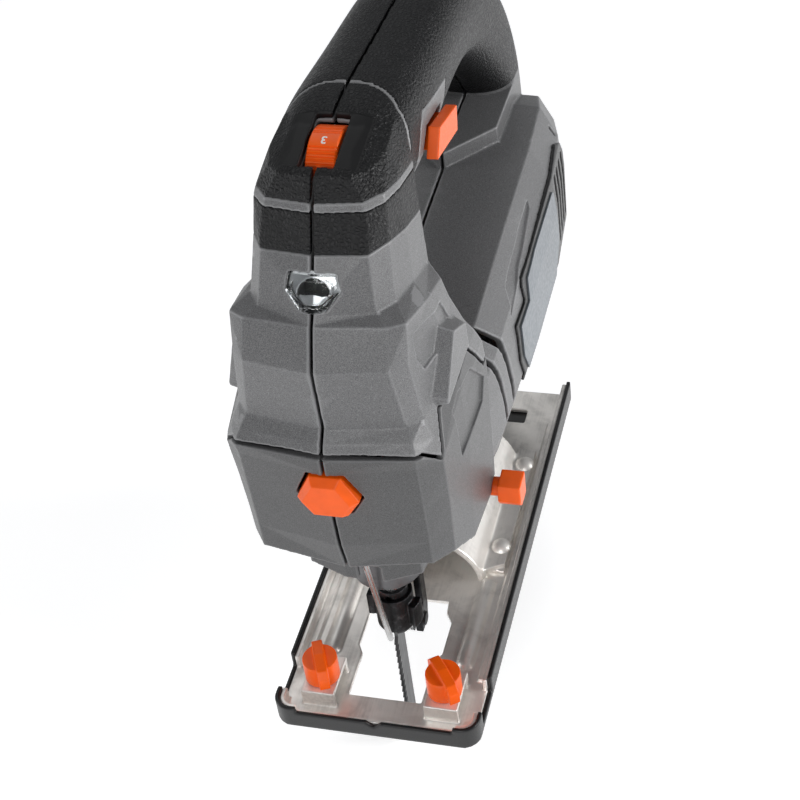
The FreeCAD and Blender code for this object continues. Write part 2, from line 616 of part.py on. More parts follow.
def clamp_collar():
    """Quick-release collar with a finger lobe on each side."""
    collar = ring(CLAMP_R + FIT, COLLAR_R, (0, 0, 16), (0, 0, 30))
    for start in (-32, 150):
        sector = [(0, 0)]
        for k in range(5):
            a = math.radians(start + 38 * k / 4)
            sector.append((9.0 * math.cos(a), 9.0 * math.sin(a)))
        lobe = prism(sector, "Z", 18, 27).cut(cyl(COLLAR_R - 0.2, (0, 0, 10), (0, 0, 40)))
        collar = collar.fuse(lobe)
    return collar


def blade():
    """T-shank wood blade: shank with two lugs, body and raked teeth on the front edge."""
    y0, y1 = BLADE_Y
    bottom = BLADE_TOP - BLADE_LEN
    pts = [(y1, BLADE_TOP - 15), (y1 - 0.4, BLADE_TOP), (y0 + 1.2, BLADE_TOP), (y0 + 1.2, 18)]
    z = 11.0
    while z > bottom + 6:
        pts.append((y0 + 1.5, z))
        pts.append((y0, z - TOOTH_PITCH * 0.85))
        z -= TOOTH_PITCH
    pts += [(y0 + 2.4, bottom + 1.5), (y1 - 1.0, bottom), (y1, bottom + 2)]
    return prism(pts, "X", -BLADE_T / 2, BLADE_T / 2)


def guide_fork():
    """Arm that hangs behind the blade holder and carries the roller."""
    y, z = ROLLER_C
    stem = box(-4.2, 4.2, 8.6, 13.4, 36, 62)
    yoke = prism([(8.6, 38), (13.4, 38), (13.4, 10), (12, 4.4), (5.2, 4.4), (5.2, 12), (8.6, 15)],
                 "X", -FORK_HALF_W, FORK_HALF_W)
    yoke = yoke.cut(box(-FORK_HALF_W + 2.4, FORK_HALF_W - 2.4, 2, 16, 0, 32))
    fork = stem.fuse(yoke).cut(cyl(FORK_PIN_R + FIT, (-9, *FORK_PIN), (9, *FORK_PIN)))
    pin = cyl(ROLLER_PIN_R, (-FORK_HALF_W, y, z), (FORK_HALF_W, y, z))
    heads = [cyl(2.3, (side * FORK_HALF_W, y, z), (side * (FORK_HALF_W + 0.9), y, z))
             for side in (1, -1)]
    return fork.fuse([pin] + heads)


def guide_roller():
    """Back roller with a groove for the blade and a step on each side of it."""
    y, z = ROLLER_C
    roller = cyl(ROLLER_R, (-3.7, y, z), (3.7, y, z))
    for depth, x0, x1 in ((0.8, -0.9, 0.9), (0.6, 2.0, 2.7), (0.6, -2.7, -2.0)):
        roller = roller.cut(ring(ROLLER_R - depth, 9, (x0, y, z), (x1, y, z)))
    return roller.cut(cyl(ROLLER_PIN_R + FIT, (-9, y, z), (9, y, z)))


def wire_guard():
    """Bent steel wire that stands in front of the blade."""
    return cyl(GUARD_R, *GUARD_LINE).fuse(Part.makeSphere(GUARD_R, V(*GUARD_LINE[0])))


def foot():
    """Cast foot: its underside follows the bevel arch, and a duct runs through it."""
    outer = box(-FOOT_HALF_W, FOOT_HALF_W, ARCH_Y[0], ARCH_Y[1] + 8, 12, FOOT_TOP)
    outer = outer.fuse(box(-15, 15, ARCH_Y[0], ARCH_Y[1] + 8, FOOT_TOP - 4, FOOT_TOP))
    outer = outer.cut(cyl(ARCH_OUT + GAP, (0, 0, 0), (0, 200, 0)))
    outer = outer.cut(box(-20, 20, ARCH_Y[1], 120, 0, 22))
    outer = outer.cut(cyl(DUST_R, (0, 20, DUST_Z), (0, 120, DUST_Z)))
    return outer.cut(cyl(2.5, (0, 66, 10), (0, 66, 26)))


def bevel_clamp():
    """Curved clamp plate and its screw, which grip the arch from below."""
    plate = ring(15.4, ARCH_IN - GAP, (0, 58, 0), (0, 74, 0))
    plate = plate.common(prism([(0, 0), (-9, 30), (9, 30)], "Y", 50, 80))
    plate = plate.cut(cyl(2.5, (0, 66, 10), (0, 66, 26)))
    screw = cyl(2.5, (0, 66, 14.6), (0, 66, 25.6))
    head = prism([(4.4 * math.cos(math.pi * k / 3), 66 + 4.4 * math.sin(math.pi * k / 3))
                  for k in range(6)], "Z", 11.3, 14.6)
    return plate, screw.fuse(head)


# ---------------------------------------------------------------- motor
def armature_parts():
    shaft = cyl(2.5, (0, 9.6, MOTOR_Z), (0, 17.6, MOTOR_Z))
    shaft = shaft.fuse(cyl(SHAFT_R, (0, 17.6, MOTOR_Z), (0, 133, MOTOR_Z)))
    pinion = gear_wheel(PINION_TEETH, MOTOR_Z, 11, 17.4, 2.5)
    pinion = pinion.cut(cyl(2.5, (0, 5, MOTOR_Z), (0, 20, MOTOR_Z)))
    core = cyl(CORE_R, (0, CORE_Y[0], MOTOR_Z), (0, CORE_Y[1], MOTOR_Z))
    for k in range(CORE_SLOTS):
        a = 2 * math.pi * k / CORE_SLOTS
        x = 13.5 * math.cos(a)
        z = MOTOR_Z + 13.5 * math.sin(a)
        core = core.cut(cyl(2.4, (x, 49, z), (x, 97, z)))
    core = core.cut(cyl(SHAFT_R, (0, 40, MOTOR_Z), (0, 120, MOTOR_Z)))
    ends = [ring(SHAFT_R, 15.6, (0, y0, MOTOR_Z), (0, y1, MOTOR_Z))
            for y0, y1 in ((43.5, 49.9), (96.1, 102.5))]
    commutator = cyl(COMMUTATOR_R, (0, 104, MOTOR_Z), (0, 119, MOTOR_Z))
    for k in range(COMMUTATOR_BARS):
        cut = box(8.0, 9.5, 103, 117, MOTOR_Z - 0.3, MOTOR_Z + 0.3)
        cut.rotate(V(0, 0, MOTOR_Z), V(0, 1, 0), 360.0 * k / COMMUTATOR_BARS)
        commutator = commutator.cut(cut)
    commutator = commutator.cut(cyl(SHAFT_R, (0, 100, MOTOR_Z), (0, 125, MOTOR_Z)))
    return shaft, pinion, core, group(ends), commutator


def fan():
    """Backed fan with straight blades."""
    y0, y1 = FAN_Y
    disc = cyl(FAN_R, (0, y1 - 1.6, MOTOR_Z), (0, y1, MOTOR_Z))
    wheel = disc.fuse(cyl(8, (0, y0, MOTOR_Z), (0, y1, MOTOR_Z)))
    for k in range(FAN_VANES):
        vane = box(6, FAN_R, y0, y1 - 1, MOTOR_Z - 0.7, MOTOR_Z + 0.7)
        vane.rotate(V(0, 0, MOTOR_Z), V(0, 1, 0), 360.0 * k / FAN_VANES)
        wheel = wheel.fuse(vane)
    return wheel.cut(cyl(SHAFT_R, (0, 20, MOTOR_Z), (0, 50, MOTOR_Z)))


def stator_parts():
    """Laminated field ring and its two coils."""
    core = ring(CORE_R + 0.7, 24.4, (0, CORE_Y[0], MOTOR_Z), (0, CORE_Y[1], MOTOR_Z))
    coils = []
    for side in (1, -1):
        for y0, y1 in ((44.2, 49.9), (96.1, 101.8)):
            arc = ring(18.6, 23.6, (0, y0, MOTOR_Z), (0, y1, MOTOR_Z))
            coils.append(arc.common(box(min(0, side * 30), max(0, side * 30), 40, 110,
                                        MOTOR_Z - 17, MOTOR_Z + 17)))
    return core, group(coils)


def bearing(y0, y1):
    return ring(SHAFT_R + FIT, BEARING_R, (0, y0, MOTOR_Z), (0, y1, MOTOR_Z))


def brush_parts():
    holders = []
    brushes = []
    for s in (1, -1):
        x = sorted((s * 11.0, s * 25.5))
        holder = box(x[0], x[1], 106, 117, MOTOR_Z - 5, MOTOR_Z + 5)
        holder = holder.cut(box(x[0] - 1, x[1] + 1, 108, 115, MOTOR_Z - 3, MOTOR_Z + 3))
        holders.append(holder)
        b = sorted((s * 9.3, s * 21))
        brushes.append(box(b[0], b[1], 108.2, 114.8, MOTOR_Z - 2.8, MOTOR_Z + 2.8))
    return group(holders), group(brushes)


# ---------------------------------------------------------------- base
def tray(half_w, front, rear, radius, z0, z1):
    """Plate whose two front corners are rounded."""
    blank = box(-half_w, half_w, front, rear, z0, z1)
    corners = [e for e in blank.Edges
               if abs(e.Vertexes[0].Y - front) + abs(e.Vertexes[1].Y - front) < 1e-6
               and abs(e.Vertexes[0].Z - e.Vertexes[1].Z) > 1e-6]
    return blank.makeFillet(radius, corners)


def base_shoe():
    """Black shoe: floor, raised rim with a front V notch and open notches for the fence bar."""
    w = BASE_HALF_W
    shoe = tray(w, BASE_FRONT, BASE_REAR, CORNER_R, 0, RIM_H)
    shoe = shoe.cut(tray(w - RIM_T, BASE_FRONT + RIM_T, BASE_REAR + 9, CORNER_R - RIM_T, SHOE_FLOOR, 20))
    shoe = shoe.cut(box(-w + 8, w - 8, BASE_FRONT - 1, BASE_FRONT + RIM_T, 6.7, 20))
    shoe = shoe.cut(prism([(-2.6, 20), (-2.6, 6.7), (0, 4.6), (2.6, 6.7), (2.6, 20)], "Y",
                          BASE_FRONT - 1, BASE_FRONT + RIM_T))
    shoe = shoe.cut(box(-15.5, 15.5, BLADE_OPENING[0] - 1.2, BLADE_OPENING[1] + 1.5, -1, 5))
    return shoe.cut(box(-60, 60, BRIDGE_Y[0] + 1.2, BRIDGE_Y[1] - 1.2, PLATE_TOP, 20))


def base_plate():
    """Stamped steel plate: side flanges, blade opening, round ribs and two fence bridges."""
    gap = RIM_T + 0.1
    w = BASE_HALF_W - gap
    front = BASE_FRONT + gap
    rear = BASE_REAR - 0.8
    y0, y1 = BLADE_OPENING
    t = 1.5
    plate = tray(w, front, rear, CORNER_R - gap, SHOE_FLOOR, 7.6)
    plate = plate.cut(tray(w - t, front + t, rear + 9, CORNER_R - gap - t, PLATE_TOP, 20))
    plate = plate.cut(box(-w + 6, w - 6, front - 1, front + t, 5.2, 20))
    opening = [(-12, y0), (12, y0), (12, -5), (14, -1.5), (14, 12), (11.5, 16), (11, y1),
               (-11, y1), (-11.5, 16), (-14, 12), (-14, -1.5), (-12, -5)]
    plate = plate.cut(prism(opening, "Z", -1, 5))
    plate = plate.cut(box(-60, 60, BRIDGE_Y[0] + 1.6, BRIDGE_Y[1] - 1.6, PLATE_TOP, 20))
    for s in (1, -1):
        x0, x1 = sorted((s * BRIDGE_X[0], s * BRIDGE_X[1]))
        top = box(x0, x1, BRIDGE_Y[0], BRIDGE_Y[1], *BRIDGE_Z)
        legs = [box(x0, x1, y, y + 1.6, PLATE_TOP - 0.4, BRIDGE_Z[1])
                for y in (BRIDGE_Y[0], BRIDGE_Y[1] - 1.6)]
        rib_x = s * RIB_X
        rib = cyl(RIB_R, (rib_x, RIB_Y[0], RIB_Z), (rib_x, RIB_Y[1], RIB_Z))
        rib = rib.fuse(Part.makeSphere(RIB_R, V(rib_x, RIB_Y[0], RIB_Z)))
        rib = rib.common(box(-40, 40, -20, RIB_Y[1], PLATE_TOP - 0.4, 9))
        rail = box(*sorted((s * 28.0, s * 30.6)), -11, 112, PLATE_TOP - 0.4, PLATE_TOP + 1.0)
        plate = plate.fuse([top, rib, rail] + legs)
        plate = plate.cut(cyl(3 + FIT, (s * KNOB[0], KNOB[1], 5), (s * KNOB[0], KNOB[1], 12)))
    return plate.cut(box(12, 19, 112, 119, -1, 5)).cut(box(-19, -12, 112, 119, -1, 5))


def base_bracket():
    """Bevel arch with riveted side flanges and a curved slot for the clamp screw."""
    y0, y1 = ARCH_Y
    arch = ring(ARCH_IN, ARCH_OUT, (0, y0, 0), (0, y1, 0))
    arch = arch.common(box(-30, 30, y0, y1, PLATE_TOP, 30))
    for s in (1, -1):
        lo, hi = sorted((s * 20.0, s * 27.0))
        flange = prism([(lo, y0 + (6 if s < 0 else 2)), (hi, y0 + (2 if s < 0 else 6)), (hi, y1 + 3),
                        (lo, y1 + 3)], "Z", PLATE_TOP + 1.3, PLATE_TOP + 3.0)
        flange = flange.fuse(box(*sorted((s * 19.4, s * 21.0)), y0 + 2, y1, PLATE_TOP, PLATE_TOP + 3))
        skirt = box(lo, hi, 36, y1 + 3, PLATE_TOP, PLATE_TOP + 1.3)
        arch = arch.fuse([flange, skirt])
    slot = []
    for k in range(17):
        a = math.radians(36 + 108 * k / 16)
        slot.append((30 * math.cos(a), 30 * math.sin(a)))
    arch = arch.cut(prism([(0, 0)] + slot, "Y", 63.1, 68.9))
    return arch.cut(cyl(ARCH_IN, (0, 0, 0), (0, 200, 0)))


def rivets():
    out = []
    for s in (1, -1):
        for y in (46, 87):
            top = PLATE_TOP + 3.0
            dome = Part.makeSphere(4.2, V(s * 24.2, y, top - 2.2)).common(
                box(s * 24.2 - 6, s * 24.2 + 6, y - 6, y + 6, top, top + 5))
            out.append(dome)
    return group(out)


def knob(s):
    """Thumb knob with a bar grip, and its screw."""
    x = s * KNOB[0]
    y = KNOB[1]
    drum = cyl(5.6, (x, y, 9.1), (x, y, 17.6))
    wing = [(-8.6, 11.6), (-8.6, 15.8), (-6.6, 18.2), (0, 19.2), (6.6, 18.2), (8.6, 15.8), (8.6, 11.6)]
    bar = prism([(y + dy, z) for dy, z in wing], "X", x - 1.7, x + 1.7)
    bar.rotate(V(x, y, 0), V(0, 0, 1), 37 if s > 0 else 24)
    head = drum.fuse(bar)
    screw = cyl(3, (x, y, BRIDGE_Z[0] + 0.1), (x, y, 12))
    head = head.cut(screw)
    return head, screw


# ---------------------------------------------------------------- trim and fasteners
def side_panels():
    """Dark side panels and blank label plates that follow the motor body."""
    panels = body(-0.9).cut(body(0)).common(
        prism(PANEL, "X", 15, 60).fuse(prism(PANEL, "X", -60, -15)))
    for outline in PANEL_SLOTS:
        panels = panels.cut(prism(outline, "X", 20, 40)).cut(prism(outline, "X", -40, -20))
    labels = body(-1.4).cut(body(-0.92)).common(
        prism(LABEL, "X", 15, 60).fuse(prism(LABEL, "X", -60, -15)))
    return group(panels.Solids), group(labels.Solids)


def gland():
    """Cord inlet bush, without a cord."""
    tube = ring(3.4, GLAND_R, (0, 154.5, GLAND_Z), (0, 178, GLAND_Z))
    return tube.fuse(ring(3.4, GLAND_R + 2, (0, 154.5, GLAND_Z), (0, 157, GLAND_Z)))


def dust_port():
    """Round dust outlet behind the foot."""
    tube = ring(12.6, 14.4, (0, 104, DUST_Z - 2), (0, 128, DUST_Z - 2))
    back = cyl(14.4, (0, 100.1, DUST_Z - 2), (0, 104, DUST_Z - 2))
    return tube.fuse(back.cut(cyl(DUST_R, (0, 95, DUST_Z), (0, 110, DUST_Z))))


def case_screws():
    """Clamshell screws, driven from the right."""
    out = []
    for y, z, depth in SCREWS:
        head = cyl(3.0, (-depth - 2.3, y, z), (-depth, y, z))
        head = head.cut(cyl(1.2, (-depth - 3, y, z), (-depth - 1.2, y, z)))
        out.append(head.fuse(cyl(1.55, (-depth, y, z), (8, y, z))))
    return group(out)


# ---------------------------------------------------------------- write every node
def main():
    os.makedirs("parts", exist_ok=True)
    nodes = {}
    grip, cap = rubber_parts()
    nodes["housing_left"], nodes["housing_right"] = housing_parts(grip, cap)
    nodes["grip_left"], nodes["grip_right"] = halves(grip)
    nodes["nose_cap_left"], nodes["nose_cap_right"] = halves(cap)
    nodes["lower_cover_left"], nodes["lower_cover_right"] = lower_cover()
    nodes["light_button"] = light_button()
    nodes["lamp_lens"], nodes["lamp_reflector"], nodes["lamp_board"] = lamp()
    nodes["speed_dial"] = speed_dial()
    nodes["dial_carrier"] = dial_carrier()
    nodes["trigger"] = trigger()
    nodes["lock_button"] = lock_button()
    nodes["switch_body"] = switch_body()
    nodes["pendulum_lever"] = pendulum_lever()
    nodes["gear_case"] = gear_case()
    nodes["plunger_bushes"] = bushes()
    nodes["plunger_seal"] = ring(ROD_R + 0.1, 7.6, (0, 0, 54.8), (0, 0, 57))
    nodes["drive_gear"] = drive_gear()
    nodes["gear_axle"] = cyl(SHAFT_R, (0, 10.3, GEAR_Z), (0, 23.8, GEAR_Z)).fuse(
        cyl(6.2, (0, 10.3, GEAR_Z), (0, 11.2, GEAR_Z)))
    nodes["plunger"], nodes["yoke"], nodes["blade_holder"] = plunger_parts()
    nodes["clamp_collar"] = clamp_collar()
    nodes["blade"] = blade()
    nodes["guide_fork"] = guide_fork()
    nodes["guide_roller"] = guide_roller()
    nodes["fork_pin"] = cyl(FORK_PIN_R, (-5.4, *FORK_PIN), (5.4, *FORK_PIN))
    nodes["wire_guard"] = wire_guard()
    nodes["foot"] = foot()
    nodes["bevel_clamp"], nodes["bevel_screw"] = bevel_clamp()
    (nodes["armature_shaft"], nodes["pinion"], nodes["armature_core"], nodes["armature_coils"],
     nodes["commutator"]) = armature_parts()
    nodes["fan"] = fan()
    nodes["stator_core"], nodes["field_coils"] = stator_parts()
    nodes["shaft_bearings"] = group([bearing(17.9, 23.8), bearing(124.2, 130.8)])
    nodes["brush_holders"], nodes["brushes"] = brush_parts()
    nodes["base_shoe"] = base_shoe()
    nodes["base_plate"] = base_plate()
    nodes["base_bracket"] = base_bracket()
    nodes["rivets"] = rivets()
    nodes["fence_knob_left"], nodes["fence_screw_left"] = knob(1)
    nodes["fence_knob_right"], nodes["fence_screw_right"] = knob(-1)
    panels, labels = side_panels()
    nodes["side_panels"] = panels
    nodes["label_plates"] = labels
    nodes["cord_gland"] = gland()
    nodes["dust_port"] = dust_port()
    nodes["case_screws"] = case_screws()
    for name, shape in nodes.items():
        save(name, shape)
        print(name, len(shape.Solids), round(shape.Volume), shape.isValid())


main()
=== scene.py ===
"""Looks of a corded D-handle jigsaw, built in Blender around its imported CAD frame.

Everything is in the frame of the CAD row, in metres: +Z up, -Y the cutting direction (front),
+X the tool's left side. The blade line meets the sole plane at the origin.
"""

import json
import math

import bpy
from mathutils import Matrix, Vector


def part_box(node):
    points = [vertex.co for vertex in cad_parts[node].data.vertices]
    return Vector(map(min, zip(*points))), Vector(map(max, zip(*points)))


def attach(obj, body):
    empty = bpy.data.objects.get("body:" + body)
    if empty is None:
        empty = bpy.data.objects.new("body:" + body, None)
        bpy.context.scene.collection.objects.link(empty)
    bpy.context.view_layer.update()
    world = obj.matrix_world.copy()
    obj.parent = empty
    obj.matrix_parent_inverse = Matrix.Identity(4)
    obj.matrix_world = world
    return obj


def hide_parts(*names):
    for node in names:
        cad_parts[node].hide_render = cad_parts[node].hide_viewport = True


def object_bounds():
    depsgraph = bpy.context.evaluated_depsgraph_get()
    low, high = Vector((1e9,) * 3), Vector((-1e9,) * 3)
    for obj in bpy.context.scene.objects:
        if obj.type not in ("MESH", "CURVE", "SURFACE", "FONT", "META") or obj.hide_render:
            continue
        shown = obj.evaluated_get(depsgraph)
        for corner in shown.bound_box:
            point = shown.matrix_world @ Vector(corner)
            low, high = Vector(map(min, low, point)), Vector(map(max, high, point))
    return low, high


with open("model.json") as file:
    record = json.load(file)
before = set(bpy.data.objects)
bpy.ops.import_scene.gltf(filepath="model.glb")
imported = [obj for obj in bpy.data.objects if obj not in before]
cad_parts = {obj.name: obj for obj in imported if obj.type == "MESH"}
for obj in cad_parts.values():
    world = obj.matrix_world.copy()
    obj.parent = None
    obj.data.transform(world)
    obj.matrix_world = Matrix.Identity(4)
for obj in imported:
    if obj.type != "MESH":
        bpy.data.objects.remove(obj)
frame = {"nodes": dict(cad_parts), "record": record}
CAD_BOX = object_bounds()
NODES = frame["nodes"]
RECORD = frame["record"]
BODY_OF = {n: body for body, names in RECORD["behaviour"]["bodies"].items() for n in names}
SLOT_OF = {p["node"]: p["material_slot"] for p in RECORD["subparts"]}
MM = 0.001


# ---------------------------------------------------------------- shader helpers
def srgb(r, g, b):
    """Linear colour of an 8 bit display colour."""
    return tuple(((c / 255 + 0.055) / 1.055) ** 2.4 if c > 10 else c / 3294.6 for c in (r, g, b))


class Finish:
    """One procedural material: a Principled shader with its own coordinates and texture nodes."""

    def __init__(self, name, **sockets):
        self.mat = bpy.data.materials.new(name)
        self.mat.use_nodes = True
        self.tree = self.mat.node_tree
        self.shader = self.tree.nodes["Principled BSDF"]
        for key, value in sockets.items():
            self.shader.inputs[key.replace("_", " ")].default_value = value
        self.where = self.tree.nodes.new("ShaderNodeTexCoord").outputs["Object"]

    def link(self, a, b):
        self.tree.links.new(a, b)

    def stretched(self, scale):
        """Object coordinates scaled along each axis."""
        node = self.tree.nodes.new("ShaderNodeMapping")
        node.inputs["Scale"].default_value = scale
        self.link(self.where, node.inputs["Vector"])
        return node.outputs["Vector"]

    def noise(self, scale, detail=2.0, rough=0.5, stretch=None, warp=0.0):
        node = self.tree.nodes.new("ShaderNodeTexNoise")
        node.inputs["Scale"].default_value = scale
        node.inputs["Detail"].default_value = detail
        node.inputs["Roughness"].default_value = rough
        node.inputs["Distortion"].default_value = warp
        self.link(self.stretched(stretch) if stretch else self.where, node.inputs["Vector"])
        return node.outputs["Fac"]

    def cells(self, scale, stretch):
        """Distance to the edges of irregular cells."""
        node = self.tree.nodes.new("ShaderNodeTexVoronoi")
        node.feature = "DISTANCE_TO_EDGE"
        node.inputs["Scale"].default_value = scale
        self.link(self.stretched(stretch), node.inputs["Vector"])
        return node.outputs["Distance"]

    def spread(self, value, low, high, to_low=0.0, to_high=1.0):
        node = self.tree.nodes.new("ShaderNodeMapRange")
        for key, number in zip(("From Min", "From Max", "To Min", "To Max"),
                               (low, high, to_low, to_high)):
            node.inputs[key].default_value = number
        self.link(value, node.inputs["Value"])
        return node.outputs["Result"]

    def join(self, operation, a, b):
        node = self.tree.nodes.new("ShaderNodeMath")
        node.operation = operation
        for value, socket in ((a, node.inputs[0]), (b, node.inputs[1])):
            if isinstance(value, (int, float)):
                socket.default_value = value
            else:
                self.link(value, socket)
        return node.outputs["Value"]

    def colours(self, value, stops):
        """Colour ramp of (place, linear colour) stops."""
        node = self.tree.nodes.new("ShaderNodeValToRGB")
        ramp = node.color_ramp
        while len(ramp.elements) < len(stops):
            ramp.elements.new(0.5)
        for element, (place, colour) in zip(ramp.elements, stops):
            element.position = place
            element.color = (*colour, 1)
        self.link(value, node.inputs["Fac"])
        return node.outputs["Color"]

    def blend(self, mode, share, a, b):
        """Mix two colours; share is a number or an output."""
        node = self.tree.nodes.new("ShaderNodeMix")
        node.data_type = "RGBA"
        node.blend_type = mode
        if isinstance(share, (int, float)):
            node.inputs[0].default_value = share
        else:
            self.link(share, node.inputs[0])
        for value, socket in ((a, node.inputs[6]), (b, node.inputs[7])):
            if isinstance(value, tuple):
                socket.default_value = (*value, 1)
            else:
                self.link(value, socket)
        return node.outputs[2]

    def raise_by(self, *layers):
        """Bump from (height output, depth in metres) layers, finest last."""
        normal = None
        for height, depth in layers:
            node = self.tree.nodes.new("ShaderNodeBump")
            node.inputs["Strength"].default_value = 1.0
            node.inputs["Distance"].default_value = depth
            self.link(height, node.inputs["Height"])
            if normal is not None:
                self.link(normal, node.inputs["Normal"])
            normal = node.outputs["Normal"]
        self.link(normal, self.shader.inputs["Normal"])
        return self

    def edges(self, low, high):
        """0 on flat and hollow places, rising to 1 on sharp outer edges of the mesh."""
        node = self.tree.nodes.new("ShaderNodeNewGeometry")
        return self.spread(node.outputs["Pointiness"], low, high)

    def outside(self, half_w, y0, y1):
        """1 outside a rectangle of the plan view and 0 inside it, with a narrow soft edge."""
        soft = 0.0003
        parts = self.tree.nodes.new("ShaderNodeSeparateXYZ")
        self.link(self.where, parts.inputs[0])
        across = self.join("ABSOLUTE", parts.outputs[0], 0.0)
        along = self.join("ABSOLUTE", self.join("SUBTRACT", parts.outputs[1], (y0 + y1) / 2), 0.0)
        half_y = (y1 - y0) / 2
        return self.join("MAXIMUM", self.spread(across, half_w - soft, half_w + soft),
                         self.spread(along, half_y - soft, half_y + soft))

    def paint(self, colour):
        self.link(colour, self.shader.inputs["Base Color"])
        return self

    def dull(self, roughness):
        self.link(roughness, self.shader.inputs["Roughness"])
        return self


def scaled(colour, by):
    return tuple(c * by for c in colour)


# ---------------------------------------------------------------- materials
# Bump depths in metres.
PLASTIC_GRAIN = 0.000024
STEEL_GRAIN = 0.000006
LEATHER_GRAIN = 0.00042


def moulded_plastic(name, colour, rough, speckle=0.4):
    """Satin moulded plastic: fine eroded texture, slight flow shading, a painted highlight on sharp
    outer edges.
    """
    f = Finish(name)
    specks = f.noise(4200, 2, 0.6)
    flow = f.noise(16, 2, 0.5)
    base = f.colours(specks, [(0.34, scaled(colour, 1 - speckle)), (0.5, colour),
                              (0.66, scaled(colour, 1 + speckle * 1.4))])
    even = f.blend("MULTIPLY", 1.0, base, f.colours(flow, [(0.3, (0.94,) * 3), (0.7, (1.04,) * 3)]))
    # Painted highlight: sharp outer edges, found from the mesh's pointiness, are mixed towards a
    # lighter copy of the colour.
    edge_highlight = f.join("MULTIPLY", f.edges(0.505, 0.53), 0.55)
    f.paint(f.blend("MIX", edge_highlight, even, scaled(colour, 2.2)))
    f.dull(f.spread(f.noise(2200, 2), 0.35, 0.65, rough - 0.07, rough + 0.07))
    return f.raise_by((f.noise(3600, 1, 0.5), PLASTIC_GRAIN)).mat


def gloss_plastic(name, colour, rough=0.34):
    """Bright moulded plastic with a slight orange peel."""
    f = Finish(name, Subsurface_Weight=0.06, Subsurface_Scale=0.002, Specular_IOR_Level=0.35)
    f.shader.inputs["Subsurface Radius"].default_value = (1.0, 0.35, 0.1)
    flow = f.noise(180, 3)
    f.paint(f.colours(flow, [(0.3, scaled(colour, 0.93)), (0.7, scaled(colour, 1.05))]))
    f.dull(f.spread(f.noise(1500, 2), 0.3, 0.7, rough - 0.05, rough + 0.07))
    return f.raise_by((f.noise(700, 2), 0.00003), (f.noise(2600, 2), 0.00001)).mat


def leather_rubber(name, colour, rough=0.5, pad=None):
    """Soft rubber with a pressed leather grain, painted darker in the creases as shade and lighter
    on the crests as highlight; pad is a (half width, y0, y1) area left smooth.
    """
    f = Finish(name, Specular_IOR_Level=0.36)
    wrinkles = f.noise(950, 3, 0.62, warp=0.9)
    creases = f.spread(f.cells(900, stretch=(1, 0.7, 1)), 0.0, 0.3)
    height = f.join("ADD", f.join("MULTIPLY", creases, 0.35), f.join("MULTIPLY", wrinkles, 0.9))
    if pad:
        height = f.join("MULTIPLY", height, f.outside(*pad))
    # Painted shade and highlight: the grain's creases are painted darker and its crests lighter
    # than the rubber's own colour.
    f.paint(f.colours(height, [(0.0, scaled(colour, 0.7)), (0.45, scaled(colour, 0.7)),
                               (0.75, colour), (1.0, scaled(colour, 1.8))]))
    f.dull(f.spread(height, 0.4, 1.0, rough + 0.16, rough - 0.08))
    return f.raise_by((height, LEATHER_GRAIN)).mat


def brushed_steel(name, colour, rough, streak=(60, 1.5, 60), wear=0.25, metal=1.0, drawn=0.6):
    """Metal sheet with rolling streaks and blotches; drawn is the streaks' share of the tone."""
    f = Finish(name, Metallic=metal)
    lines = f.noise(18, 4, 0.65, stretch=streak)
    blotch = f.noise(85, 4, 0.6, warp=0.4)
    tone = f.join("ADD", f.join("MULTIPLY", lines, drawn), f.join("MULTIPLY", blotch, 1 - drawn))
    f.paint(f.colours(tone, [(0.3, scaled(colour, 1 - wear)), (0.5, colour),
                             (0.68, scaled(colour, 1 + wear * 0.35))]))
    f.dull(f.spread(tone, 0.3, 0.7, rough + 0.13, rough - 0.07))
    return f.raise_by((lines, STEEL_GRAIN), (f.noise(2400, 2), STEEL_GRAIN)).mat


def cast_metal(name, colour, rough):
    """Die cast alloy: pebbled skin."""
    f = Finish(name, Metallic=1.0)
    skin = f.noise(900, 4, 0.65)
    f.paint(f.colours(f.noise(110, 4), [(0.3, scaled(colour, 0.7)), (0.7, scaled(colour, 1.15))]))
    f.dull(f.spread(skin, 0.3, 0.7, rough - 0.08, rough + 0.12))
    return f.raise_by((skin, 0.00005)).mat


def oxide_steel(name, colour, rough):
    """Black oxide steel with lighter rubbed patches."""
    f = Finish(name, Metallic=1.0)
    rub = f.noise(240, 5, 0.7)
    f.paint(f.colours(rub, [(0.35, scaled(colour, 0.6)), (0.55, colour),
                            (0.78, scaled(colour, 3.5))]))
    f.dull(f.spread(rub, 0.3, 0.75, rough + 0.1, rough - 0.1))
    return f.raise_by((f.noise(1400, 3), 0.00002)).mat


def clear_lens(name):
    f = Finish(name, Transmission_Weight=1.0, IOR=1.49)
    f.paint(f.colours(f.noise(60, 2), [(0.3, (0.9, 0.93, 0.95)), (0.7, (0.97, 0.98, 0.98))]))
    f.dull(f.spread(f.noise(900, 3), 0.3, 0.7, 0.0, 0.04))
    return f.raise_by((f.noise(300, 1), 0.000004)).mat


def mirror_coat(name):
    f = Finish(name, Metallic=1.0)
    f.paint(f.colours(f.noise(300, 3), [(0.3, (0.5, 0.51, 0.52)), (0.7, (0.64, 0.65, 0.66))]))
    f.dull(f.spread(f.noise(700, 2), 0.3, 0.7, 0.28, 0.36))
    return f.raise_by((f.noise(400, 1), 0.000004)).mat


def winding(name, colour):
    """Enamelled wire wound round the motor axis."""
    f = Finish(name, Metallic=0.75, Coat_Weight=0.6, Coat_Roughness=0.12)
    wave = f.tree.nodes.new("ShaderNodeTexWave")
    wave.bands_direction = "Y"
    wave.inputs["Scale"].default_value = 900
    wave.inputs["Distortion"].default_value = 3
    f.link(f.where, wave.inputs["Vector"])
    # Painted shade: the grooves between the turns, where the bump is low, are painted darker.
    f.paint(f.colours(wave.outputs["Fac"], [(0.1, scaled(colour, 0.35)), (0.7, colour)]))
    f.dull(f.spread(f.noise(600, 2), 0.3, 0.7, 0.25, 0.4))
    return f.raise_by((wave.outputs["Fac"], 0.00015)).mat


